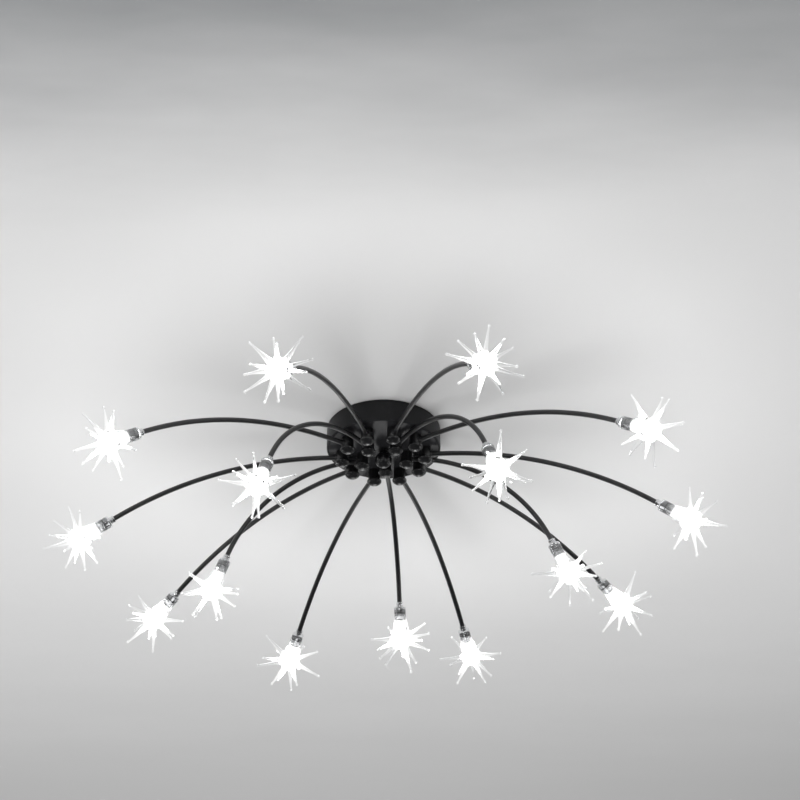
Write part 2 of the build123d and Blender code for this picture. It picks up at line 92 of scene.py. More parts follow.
def size(name, description, millimetres):
    """A length of a part, given in millimetres."""
    return FloatProperty(name=name, description=description, default=millimetres * MM, min=0.0,
                         precision=5, unit="LENGTH")


def metres(name, description, default):
    """A length of the stage, given in metres."""
    return FloatProperty(name=name, description=description, default=default, unit="LENGTH")


def turn(name, description, degrees):
    """An angle, given in degrees."""
    return FloatProperty(name=name, description=description, default=radians(degrees), subtype="ANGLE")


def colour(name, description, default):
    """A linear colour."""
    return FloatVectorProperty(name=name, description=description, default=default, min=0.0, max=1.0,
                               size=3, subtype="COLOR")


def share(name, description, default):
    """A part of a whole."""
    return FloatProperty(name=name, description=description, default=default, min=0.0, soft_max=1.0)


class CanopySizes(PropertyGroup):
    """Sizes of the canopy and the finial under it."""
    edge: size("Lower edge", "Rounding of the drum's lower edge", 2.5)
    sheet: size("Sheet", "Thickness of the drum's sheet metal", 1.2)
    rim: size("Rim bead", "Radius of the rolled bead at the ceiling", 0.7)
    finial_stem: size("Finial stem", "Radius of the finial's stem", 5.0)
    finial_ball: size("Finial ball", "Radius of the finial's ball", 10.4)


class ArmSizes(PropertyGroup):
    """Sizes of the arms, hubs and caps."""
    tube: size("Tube", "Outside radius of the arm tube", 3.0)
    start: size("Start", "From the hub's axis to the start of the bend", 9.0)
    end_run: size("End run", "Straight run between the bend and the socket", 6.0)
    long_drop: size("Long arm drop", "Height of a long arm's root below the canopy", 8.6)
    long_turn: turn("Long arm turn", "How far a long arm is bent from root to end", 36.1)
    long_bend: size("Long arm bend", "Bend radius of a long arm", 444.0)
    short_drop: size("Short arm drop", "Height of a short arm's root below the canopy", 9.6)
    short_turn: turn("Short arm turn", "How far a short arm is bent from root to end", 73.9)
    short_bend: size("Short arm bend", "Bend radius of a short arm", 160.0)
    steep: turn("Steep end", "Slope of the end past which an arm is a short one", 50.0)
    hub: size("Hub", "Radius of a hub", 7.2)
    hub_length: size("Hub length", "Length of a hub", 13.5)
    hub_edge: size("Hub edge", "Rounding of a hub's edges", 0.5)
    cap: size("Cap", "Radius of a hub's domed cap", 9.0)
    cap_band: size("Cap band", "Height of a cap's straight band", 2.2)
    cap_dome: size("Cap dome", "Height of a cap's dome", 4.6)
    cap_edge: size("Cap edge", "Rounding of a cap's edges", 1.1)
    screw: size("Lock screw", "Radius of the screw in a hub's side", 1.7)


class SocketSizes(PropertyGroup):
    """Sizes along a lamp socket, from where the painted tube ends."""
    collar_back: size("Collar back", "Length of the collar over the painted tube", 1.5)
    collar: size("Collar", "Radius of the collar", 4.4)
    collar_length: size("Collar length", "Length of the collar past the painted tube", 5.0)
    flange: size("Flange", "Radius of the flange that the glass sits against", 7.5)
    flange_thick: size("Flange thickness", "Thickness of the flange", 1.5)
    cup: size("Cup", "Radius of the cup", 5.0)
    cup_wall: size("Cup wall", "Wall of the cup", 1.0)
    cup_length: size("Cup length", "Length of the cup", 15.5)
    holder_length: size("Holder", "Length of the ceramic pin holder in the cup", 11.5)
    floor: size("Cup floor", "Thickness of the cup's floor", 1.5)
    grip_offset: size("Grip ring place", "From the flange to the grip ring", 6.0)
    grip: size("Grip ring", "Radius of the grip ring's section", 0.5)
    bulb_base: size("Bulb base", "Radius of the bulb's base", 3.6)
    bulb_base_length: size("Bulb base length", "Length of the bulb's base", 3.4)
    bulb: size("Bulb", "Radius of the capsule bulb", 4.2)
    bulb_length: size("Bulb length", "Straight length of the capsule bulb", 14.0)


class StarSizes(PropertyGroup):
    """Sizes of a star shade."""
    distance: size("Distance", "From the end of the painted tube to the ball's centre", 46.0)
    neck_start: size("Neck start", "From the end of the painted tube to the glass", 6.8)
    neck_bore: size("Neck bore", "Radius inside the neck", 5.9)
    neck: size("Neck", "Radius outside the neck", 7.5)
    neck_length: size("Neck length", "Straight length of the neck", 13.0)
    ball: size("Ball", "Outside radius of the ball", 13.0)
    wall: size("Wall", "Thickness of the ball's wall", 3.0)
    root_depth: size("Root depth", "Depth of a spike's root below the ball's surface", 2.0)
    spikes: IntProperty(name="Spikes", description="How many spikes a star has", default=14, min=3)
    back: turn("Back angle", "How far back the last spikes lean from straight ahead", 122.0)
    tip: size("Tip", "Radius of a spike's round tip", 1.6)
    voxel: size("Voxel", "Fineness of the blown-glass surface", 0.7)
    wander: share("Wander", "How far the spikes bend off their own lines", 0.05)


class Finishes(PropertyGroup):
    """Colours of the finishes."""
    paint: colour("Paint", "Satin black paint", (0.006, 0.006, 0.0065))
    dust: colour("Dust", "Thin dust on faces that look up", (0.09, 0.088, 0.085))
    chrome: colour("Chrome", "Polished chrome", (0.78, 0.79, 0.8))
    # The chrome is coloured this darker grey over the part of each socket's cup that sits inside the glass
    # neck.
    cup: colour("Cup", "Darker plating of the cups in the glass necks", (0.24, 0.242, 0.245))
    ceramic: colour("Ceramic", "Lamp holder ceramic", (0.82, 0.8, 0.76))
    glass: colour("Glass", "Clear glass", (0.98, 0.985, 0.99))
    glow: colour("Glow", "Light in the stars", (1.0, 0.995, 0.98))
    brass: colour("Brass", "Nipples and nuts", (0.66, 0.5, 0.24))
    zinc: colour("Zinc", "Plated steel", (0.55, 0.56, 0.57))
    plastic: colour("Plastic", "Driver case and terminal block", (0.78, 0.78, 0.76))
    rubber: colour("Rubber", "Leads, washers and grip rings", (0.02, 0.02, 0.021))


class StageLook(PropertyGroup):
    """The ceiling, the lamps and the camera."""
    # The ceiling's colours are painted light and shade: painted shade close round the canopy, a painted
    # pool of light over the ring of stars whose radius is the ring, and painted dimming behind and in front
    # of the light.
    ceiling_painted_shade: colour("Ceiling under", "Ceiling close round the canopy", (0.58, 0.58, 0.58))
    ceiling_painted_light: colour("Ceiling ring", "Ceiling over the ring of stars", (0.76, 0.76, 0.76))
    ceiling_far_painted_dim: colour("Ceiling far", "Ceiling behind the light", (0.53, 0.53, 0.53))
    ceiling_near_painted_shade: colour("Ceiling near", "Ceiling in front of the light", (0.19, 0.2, 0.21))
    ring: metres("Ring", "Radius of the ceiling's brightest part", 0.4)
    ceiling_radius: metres("Ceiling radius", "Radius of the whole ceiling", 5.5)
    opening: size("Opening", "Radius of the ceiling's opening over the canopy", 60.0)
    star_power: FloatProperty(name="Star power", description="Power of the lamp in each star",
                              default=0.05, unit="POWER")
    room_floor: colour("Room floor", "What polished metal mirrors from below", (0.06, 0.06, 0.06))
    room_walls: colour("Room walls", "What polished metal mirrors from the sides", (0.3, 0.3, 0.3))
    backdrop: colour("Backdrop", "What shows past the ceiling", (0.74, 0.74, 0.74))
    lens: FloatProperty(name="Lens", description="Focal length in millimetres", default=96.35)
    distance: metres("Distance", "From the camera to its target", 2.65)
    elevation: turn("Elevation", "How far the camera looks up", 32.86)
    target: FloatVectorProperty(name="Target", description="Point that the camera looks at",
                                default=(0.0202, -0.0203, 0.0315), subtype="XYZ", unit="LENGTH")


class StarLight(PropertyGroup):
    """All settings of the light."""
    canopy: PointerProperty(type=CanopySizes)
    arm: PointerProperty(type=ArmSizes)
    socket: PointerProperty(type=SocketSizes)
    star: PointerProperty(type=StarSizes)
    finish: PointerProperty(type=Finishes)
    stage: PointerProperty(type=StageLook)


def settings():
    """The scene's settings of the light."""
    return bpy.context.scene.star_light


# Where the arms are, from the frame's joints

@dataclass
class Arm:
    """One arm's place, read from its swivel and from the axis that its star pulls off along."""
    tag: str
    body: str
    star_body: str
    hub: Vector
    pull: Vector

    def number(self):
        """The number in the arm's tag."""
        return int(self.tag)

    def place(self):
        """The arm's own frame: Z up the hub's axis from the canopy's underside, X along its reach."""
        hub = Matrix.Translation((self.hub.x, self.hub.y, CANOPY_LOW.z))
        return hub @ Matrix.Rotation(atan2(self.pull.y, self.pull.x), 4, "Z")

    def line(self):
        """The arm's centre line. An arm that ends steeply is a short one."""
        slope = asin(self.pull.z)
        return ArmLine(-slope > settings().arm.steep, slope)

    def head(self):
        """Frame at the end of the painted tube, with Z along the socket."""
        line = self.line()
        x, z = line.at_end(0.0)
        across = Vector((0, 1, 0))
        ahead = Vector((cos(line.end), 0, sin(line.end)))
        side = ahead.cross(across)
        local = Matrix((across, side, ahead)).transposed().to_4x4()
        return self.place() @ Matrix.Translation((x, 0, z)) @ local


class ArmLine:
    """Centre line of an arm in its own plane.

    Points are (reach, height) from the hub's axis at the canopy's underside.
    """

    def __init__(self, short, end):
        s = settings().arm
        if short:
            drop, bend_turn, self.radius = s.short_drop, s.short_turn, s.short_bend
        else:
            drop, bend_turn, self.radius = s.long_drop, s.long_turn, s.long_bend
        self.root = -drop
        self.rise = end + bend_turn
        self.end = end
        self.bend_start = self.at_start(s.start)
        self.bend_end = self.on_bend(1.0)

    def slope(self, part):
        """Slope at a part of the way round the bend."""
        return self.rise + (self.end - self.rise) * part

    def at_start(self, distance):
        """Point on the straight run out of the hub."""
        return distance * cos(self.rise), self.root + distance * sin(self.rise)

    def on_bend(self, part):
        """Point at a part of the way round the bend."""
        slope = self.slope(part)
        x, z = self.bend_start
        reach = x + self.radius * (sin(self.rise) - sin(slope))
        height = z + self.radius * (cos(slope) - cos(self.rise))
        return reach, height

    def at_end(self, distance):
        """Point on the straight run into the socket, from the end of the painted tube."""
        run = settings().arm.end_run + distance
        return self.bend_end[0] + run * cos(self.end), self.bend_end[1] + run * sin(self.end)

    def points(self, inside, seat, steps):
        """Points with slopes, from inside the hub to the tube's seat in the socket."""
        line = [(self.at_start(inside), self.rise)]
        line += [(self.on_bend(n / steps), self.slope(n / steps)) for n in range(steps + 1)]
        return line + [(self.at_end(0.0), self.end), (self.at_end(seat), self.end)]


def read_arms():
    """The arms in the frame's joints, in the order of their numbers."""
    joints = {j["child"]: j for j in frame["joints"]}
    arms = []
    for body in sorted(b for b in frame["bodies"] if b.startswith("arm_")):
        tag = body.split("_")[1]
        star_body = f"star_{tag}"
        hub = Vector(joints[body]["pos_m"])
        pull = Vector(joints[star_body]["axis"])
        arms.append(Arm(tag, body, star_body, hub, pull))
    return arms


# Mesh tools

def mesh_from(name, build, smooth_angle=35.0):
    """A mesh that build fills through bmesh, with smooth faces and sharp edges past an angle."""
    bm = bmesh.new()
    build(bm)
    bmesh.ops.recalc_face_normals(bm, faces=bm.faces)
    mesh = bpy.data.meshes.new(name)
    bm.to_mesh(mesh)
    bm.free()
    mesh.shade_smooth()
    mesh.set_sharp_from_angle(angle=radians(smooth_angle))
    return mesh


def soften(points, radius, steps=4, most=0.45):
    """An outline with its inner corners rounded, each over at most a part of its sides."""
    out = [points[0]]
    for before, corner, after in zip(points, points[1:], points[2:]):
        back = Vector(before) - Vector(corner)
        ahead = Vector(after) - Vector(corner)
        reach = min(radius, most * back.length, most * ahead.length)
        first = Vector(corner) + back.normalized() * reach
        last = Vector(corner) + ahead.normalized() * reach
        for n in range(steps + 1):
            t = n / steps
            out.append(tuple(first * (1 - t) ** 2 + Vector(corner) * (2 * t * (1 - t)) + last * t ** 2))
    return out + [points[-1]]


def fade(value, span, unit, start=0.0):
    """0 below a span, 1 above it and smooth between, the span being in units from a start."""
    low = start + span[0] * unit
    high = start + span[1] * unit
    t = min(max((value - low) / (high - low), 0.0), 1.0)
    return t * t * (3 - 2 * t)


def turns(count):
    """Angles spread evenly over a full turn."""
    return [2 * pi * n / count for n in range(count)]


def arc(centre, radius, start, end, steps):
    """Points of (radius, height) along an arc, with angles from straight out."""
    angles = [start + (end - start) * n / steps for n in range(steps + 1)]
    return [(centre[0] + radius * cos(a), centre[1] + radius * sin(a)) for a in angles]


def add_rings(bm, rings, capped=True):
    """Faces between rings of points. A ring of one point makes a pointed end."""
    loops = [[bm.verts.new(p) for p in ring] for ring in rings]
    for low, high in zip(loops, loops[1:]):
        for n in range(max(len(low), len(high))):
            corners = [low[n % len(low)], low[(n + 1) % len(low)],
                       high[(n + 1) % len(high)], high[n % len(high)]]
            bm.faces.new(list(dict.fromkeys(corners)))
    for loop in (loops[0], loops[-1]):
        if capped and len(loop) > 2:
            bm.faces.new(loop)


def lathe(bm, outline, segments, place=Matrix.Identity(4), closed=False):
    """Solid turned about Z from an outline of (radius, height). A closed outline makes a ring."""
    rings = []
    for r, z in outline:
        if r < TINY:
            rings.append([place @ Vector((0, 0, z))])
        else:
            rings.append([place @ Vector((r * cos(a), r * sin(a), z)) for a in turns(segments)])
    if closed:
        add_rings(bm, rings + [rings[0]], capped=False)
        bmesh.ops.remove_doubles(bm, verts=bm.verts, dist=TINY)
    else:
        add_rings(bm, rings)


def turned_mesh(name, outline, segments, smooth_angle=35.0, closed=False):
    """A mesh turned about Z from an outline of (radius, height)."""
    return mesh_from(name, lambda bm: lathe(bm, outline, segments, closed=closed), smooth_angle)


def add_to_scene(name, data):
    """A new object in the scene."""
    item = bpy.data.objects.new(name, data)
    bpy.context.scene.collection.objects.link(item)
    return item


def aim(item, ahead):
    """Turns a lamp or a camera to look along a direction."""
    item.rotation_mode = "QUATERNION"
    item.rotation_quaternion = ahead.to_track_quat("-Z", "Y")


def add_piece(name, mesh, finish, body, place=Matrix.Identity(4), replaces=()):
    """A piece of the light that rides on a body, with its finish."""
    piece = add_to_scene(name, mesh)
    piece.matrix_world = place
    if not mesh.materials:
        mesh.materials.append(finish)
    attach(piece, body)
    if replaces:
        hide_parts(*replaces)
    return piece


# Shader tools

class Value:
    """A shader socket that takes part in Python expressions. Each operator adds a Math node."""

    def __init__(self, finish, socket):
        self.finish = finish
        self.socket = socket

    def math(self, operation, *values):
        """A Math node."""
        return self.finish.node("Math", {"operation": operation}, values)

    def __add__(self, other):
        return self.math("ADD", self, other)

    def __sub__(self, other):
        return self.math("SUBTRACT", self, other)

    def __rsub__(self, other):
        return self.math("SUBTRACT", other, self)

    def __mul__(self, other):
        return self.math("MULTIPLY", self, other)

    __radd__ = __add__
    __rmul__ = __mul__

    def step(self, low, high):
        """0 below low, 1 above high, and smooth between."""
        return self.finish.node("MapRange", {"interpolation_type": "SMOOTHSTEP"},
                                {"Value": self, "From Min": low, "From Max": high})


class Finish:
    """A material under construction: its Principled shader and the nodes that feed it."""

    def __init__(self, name, **constants):
        self.material = bpy.data.materials.new(name)
        self.material.use_nodes = True
        self.tree = self.material.node_tree
        self.shader = self.tree.nodes["Principled BSDF"]
        self.output = self.tree.nodes["Material Output"]
        self.feed(self.shader, constants)

    @classmethod
    def for_world(cls, world):
        """The world's background shader instead of a material's."""
        finish = cls.__new__(cls)
        finish.tree = world.node_tree
        finish.shader = world.node_tree.nodes["Background"]
        return finish

    def feed(self, node, sockets):
        """Links or sets a node's sockets, by name or in order."""
        pairs = sockets.items() if isinstance(sockets, dict) else enumerate(sockets)
        for key, value in pairs:
            socket = node.inputs[key.replace("_", " ") if isinstance(key, str) else key]
            if isinstance(value, Value):
                self.tree.links.new(value.socket, socket)
            elif socket.type == "RGBA" and len(value) == 3:
                socket.default_value = (*value, 1.0)
            else:
                socket.default_value = value

    def node(self, kind, choices=(), sockets=(), out=0):
        """Adds a node of a kind, with its choices set first and then its sockets, and gives one output."""
        node = self.tree.nodes.new(f"ShaderNode{kind}")
        for key, value in dict(choices).items():
            setattr(node, key, value)
        self.feed(node, sockets)
        return Value(self, node.outputs[out])

    def shade(self, **sockets):
        """Feeds the shader."""
        self.feed(self.shader, sockets)

    def place(self):
        """The surface point in the piece's own frame."""
        return self.node("TexCoord", out="Object")

    def vector_math(self, operation, *vectors, out=0):
        """A Vector Math node."""
        return self.node("VectorMath", {"operation": operation}, vectors, out)

    def noise(self, scale, detail=2.0, roughness=0.5, stretch=(1, 1, 1)):
        """Noise from 0 to 1 on the piece's own frame, scale being in features to the metre."""
        where = self.vector_math("MULTIPLY", self.place(), stretch)
        return self.node("TexNoise", sockets={"Vector": where, "Scale": scale, "Detail": detail,
                                              "Roughness": roughness})

    def mix(self, factor, first, second):
        """A colour between two."""
        return self.node("Mix", {"data_type": "RGBA"}, {0: factor, 6: first, 7: second}, out=2)

    def part(self, vector, axis):
        """One part of a vector, by the name of its axis."""
        return self.node("SeparateXYZ", sockets=[vector], out=axis)

    def facing(self):
        """How far a face looks up, from -1 to 1."""
        return self.part(self.node("NewGeometry", out="Normal"), "Z")

    def bump(self, height, millimetres, strength):
        """A normal for a height from 0 to 1 over a distance."""
        return self.node("Bump", sockets={"Height": height, "Distance": millimetres * MM,
                                          "Strength": strength})


def toned(tint, factor):
    """A colour made darker or lighter."""
    return tuple(factor * v for v in tint)


# Finishes

def dusting(finish):
    """Flecks in the paint, and the thin dust that they hold on faces that look up."""
    fleck = finish.noise(scale=420, detail=4.0, roughness=0.65)
    looks_up = finish.facing().step(0.35, 0.95)
    return fleck, looks_up * fleck.step(0.42, 0.75) * 0.35


def orange_peel(finish, fine, coarse, millimetres, strength):
    """The fine and coarse ripple of sprayed paint."""
    ripple = finish.noise(scale=fine) + finish.noise(scale=coarse) * 1.5
    return finish.bump(ripple, millimetres, strength)


def satin_black(name, rough, peel, gloss, coat):
    """Sprayed satin paint: fine orange peel, slow changes of sheen and a trace of dust on top."""
    c = settings().finish
    f = Finish(name, Specular_IOR_Level=gloss, Coat_Roughness=0.2)
    sheen = f.noise(scale=55, detail=3.0)
    fleck, dust = dusting(f)
    paint = f.mix(sheen * 0.6, c.paint, toned(c.paint, 1.7))
    f.shade(Base_Color=f.mix(dust, paint, c.dust),
            Roughness=(sheen - 0.5) * 0.16 + fleck * 0.05 + dust * 0.4 + rough,
            Coat_Weight=coat + sheen * 0.1,
            Normal=orange_peel(f, fine=1500, coarse=300, millimetres=peel, strength=0.35))
    return f.material


def smoother_black(name):
    """The smoother black paint of turned parts."""
    return satin_black(name, rough=0.22, peel=0.012, gloss=0.7, coat=0.4)


def canopy_enamel():
    """Black enamel that is satin on the drum's wall and glossier on its flat underside."""
    c = settings().finish
    f = Finish("canopy_enamel", Specular_IOR_Level=0.16, Coat_Roughness=0.2)
    under = (f.facing() * -1.0).step(0.6, 0.95)
    sheen = f.noise(scale=30, detail=3.0)
    fleck, dust = dusting(f)
    enamel = f.mix(sheen * 0.6, toned(c.paint, 2.3), toned(c.paint, 3.5))
    f.shade(Base_Color=f.mix(dust, enamel, c.dust),
            Roughness=0.42 - under * 0.18 + (sheen - 0.5) * 0.1 + fleck * 0.04,
            Coat_Weight=0.03 + sheen * 0.06,
            Normal=orange_peel(f, fine=1300, coarse=240, millimetres=0.02, strength=0.3))
    return f.material


def chrome():
    """Bright plating with faint turning marks and a film of handling, darker on the cup."""
    c = settings().finish
    f = Finish("bright_chrome", Metallic=1.0)
    film = f.noise(scale=160, detail=4.0, roughness=0.6)
    turned = f.noise(scale=700, detail=1.0, stretch=(0.05, 0.05, 6.0))
    # The cup, inside the glass neck, is coloured darker than the rest of the chrome.
    cup = f.part(f.place(), "Z").step(6.0 * MM, 8.0 * MM)
    plating = f.mix(film.step(0.3, 0.8), c.chrome, toned(c.chrome, 0.8))
    f.shade(Base_Color=f.mix(cup * (0.75 + film * 0.25), plating, c.cup),
            Roughness=0.05 + film * 0.12,
            Normal=f.bump(turned, millimetres=0.01, strength=0.4))
    return f.material


def ceramic():
    """Fired ceramic of a pin holder."""
    c = settings().finish
    f = Finish("holder_ceramic", Specular_IOR_Level=0.4)
    grain = f.noise(scale=900, detail=4.0, roughness=0.6)
    f.shade(Base_Color=f.mix(grain, c.ceramic, toned(c.ceramic, 0.86)),
            Roughness=0.45 + grain * 0.2,
            Normal=f.bump(grain, millimetres=0.03, strength=0.4))
    return f.material


def star_glass():
    """Clear blown glass with painted glow: the bulb's light inside is painted onto the glass as emission,
    as much as its points say.
    """
    c = settings().finish
    f = Finish("star_glass", IOR=1.47, Transmission_Weight=1.0, Emission_Strength=1.0)
    glow = f.node("Attribute", {"attribute_name": GLOW}, out="Fac")
    seeds = f.noise(scale=260, detail=3.0, roughness=0.6)
    unlit = (0, 0, 0)
    f.shade(Base_Color=f.mix(seeds * 0.5, c.glass, toned(c.glass, 0.96)),
            Roughness=0.015 + seeds * 0.05,
            # painted glow on the glass, standing for the light of the bulb inside
            Emission_Color=f.mix(glow * (0.94 + seeds * 0.12), unlit, c.glow),
            Normal=f.bump(f.noise(scale=140), millimetres=0.25, strength=0.35))
    f.material.cycles.emission_sampling = "NONE"
    return f.material


def bulb_glow():
    """Frosted capsule with its light on, dimmer towards its base."""
    c = settings().finish
    f = Finish("bulb_glow", Emission_Strength=1.4, Roughness=0.4)
    frost = f.noise(scale=700, detail=3.0)
    along = f.part(f.place(), "Z").step(29.0 * MM, 39.0 * MM)
    pale_frost = (0.9, 0.9, 0.88)
    deep_frost = (0.82, 0.82, 0.8)
    dim = (0.05, 0.05, 0.05)
    f.shade(Base_Color=f.mix(frost, pale_frost, deep_frost),
            Emission_Color=f.mix(along * (0.9 + frost * 0.1), dim, c.glow),
            Normal=f.bump(frost, millimetres=0.02, strength=0.4))
    f.material.cycles.emission_sampling = "NONE"
    return f.material


def zinc_plate():
    """Zinc-plated steel with a faint spangle and scuffs."""
    c = settings().finish
    f = Finish("zinc_plate", Metallic=1.0)
    spangle = f.node("TexVoronoi", {"feature": "F1"}, {"Vector": f.place(), "Scale": 260.0}, out="Distance")
    scuff = f.noise(scale=120, detail=5.0, roughness=0.7, stretch=(1, 6, 1))
    f.shade(Base_Color=f.mix(spangle * 0.7, c.zinc, toned(c.zinc, 0.72)),
            Roughness=0.3 + scuff * 0.22 + spangle * 0.08,
            Normal=f.bump(scuff, millimetres=0.02, strength=0.35))
    return f.material


def machined_brass():
    """Turned brass with thread-like marks round its axis and random darker tarnish."""
    c = settings().finish
    f = Finish("machined_brass", Metallic=1.0)
    turned = f.node("TexWave", {"bands_direction": "Z"},
                    {"Vector": f.place(), "Scale": 320.0, "Distortion": 0.4, "Detail": 1.0})
    tarnish = f.noise(scale=180, detail=4.0, roughness=0.6)
    f.shade(Base_Color=f.mix(tarnish.step(0.4, 0.8) * 0.7, c.brass, toned(c.brass, 0.55)),
            Roughness=0.26 + tarnish * 0.2,
            Normal=f.bump(turned, millimetres=0.08, strength=0.5))
    return f.material


def moulded_plastic():
    """Fine-textured pale plastic."""
    c = settings().finish
    f = Finish("moulded_plastic", Specular_IOR_Level=0.45)
    texture = f.noise(scale=1400, detail=3.0)
    cloud = f.noise(scale=40, detail=3.0)
    f.shade(Base_Color=f.mix(cloud, c.plastic, toned(c.plastic, 0.9)),
            Roughness=0.42 + texture * 0.15,
            Normal=f.bump(texture, millimetres=0.05, strength=0.4))
    return f.material


def soft_rubber():
    """Dark sleeve and washer rubber with a dull bloom."""
    c = settings().finish
    f = Finish("soft_rubber", Specular_IOR_Level=0.35)
    bloom = f.noise(scale=220, detail=4.0, roughness=0.6)
    f.shade(Base_Color=f.mix(bloom * 0.7, c.rubber, toned(c.rubber, 2.2)),
            Roughness=0.55 + bloom * 0.2,
            Normal=f.bump(f.noise(scale=1800), millimetres=0.03, strength=0.4))
    return f.material


# Operators, one for each piece or group of like pieces

class STARLIGHT_OT_canopy(Operator):
    """Makes the drum canopy with its rolled rim and rounded lower edge"""
    bl_idname = "starlight.canopy"
    bl_label = "Canopy"
    bl_options = {"REGISTER", "UNDO"}

    def outline(self):
        """Out along the underside, up the wall, over the rim and back inside."""
        s = settings().canopy
        radius = CANOPY_HIGH.x
        low = CANOPY_LOW.z
        inner = radius - s.sheet
        floor = low + s.sheet
        edge = arc((radius - s.edge, low + s.edge), s.edge, -pi / 2, 0.0, steps=8)
        rim = arc((radius - s.rim, -s.rim), s.rim, 0.0, pi / 2, steps=6)
        inside = [(radius - s.rim, 0.0), (inner - s.rim, 0.0), (inner, -3 * s.rim),
                  (inner, low + 2 * s.edge), (inner - 1.5 * s.edge, floor), (0.0, floor)]
        return [(0.0, low)] + edge + rim + soften(inside, s.rim)

    def execute(self, context):
        mesh = turned_mesh("canopy_drum", self.outline(), segments=160)
        add_piece("canopy_drum", mesh, canopy_enamel(), ROOT_BODY, replaces=["canopy"])
        return {"FINISHED"}


class STARLIGHT_OT_finial(Operator):
    """Makes the ball finial on its stem"""
    bl_idname = "starlight.finial"
    bl_label = "Finial"
    bl_options = {"REGISTER", "UNDO"}
    LIP = 1.4 * MM  # how far the lip at the top stands out from the stem
    LIP_SIDE = 1.2 * MM
    LIP_FOOT = 1.6 * MM  # from the top to where the lip has run into the stem
    FLARE = 1.12  # radius of the stem's foot on the ball, in stem radii
    FLARE_HEIGHT = 0.9 * MM
    ROUNDING = 0.5 * MM

    def outline(self):
        """Down the stem from the canopy and round the ball."""
        s = settings().canopy
        ball, stem = s.finial_ball, s.finial_stem
        lip = stem + self.LIP
        foot = self.FLARE * stem
        top = FINIAL_HIGH.z
        centre = FINIAL_LOW.z + ball
        meet = acos(foot / ball)
        flare = centre + ball * sin(meet) + self.FLARE_HEIGHT
        stalk = [(0.0, top), (lip, top), (lip, top - self.LIP_SIDE), (stem, top - self.LIP_FOOT),
                 (stem, flare), (foot, flare - self.FLARE_HEIGHT)]
        round_ball = arc((0.0, centre), ball, meet, -pi / 2, steps=28)[1:-1]
        return soften(stalk, self.ROUNDING) + round_ball + [(0.0, centre - ball)]

    def execute(self, context):
        mesh = turned_mesh("finial_ball", self.outline(), segments=64, smooth_angle=50.0)
        add_piece("finial_ball", mesh, smoother_black("finial_paint"), ROOT_BODY,
                  replaces=["centre_finial"])
        return {"FINISHED"}


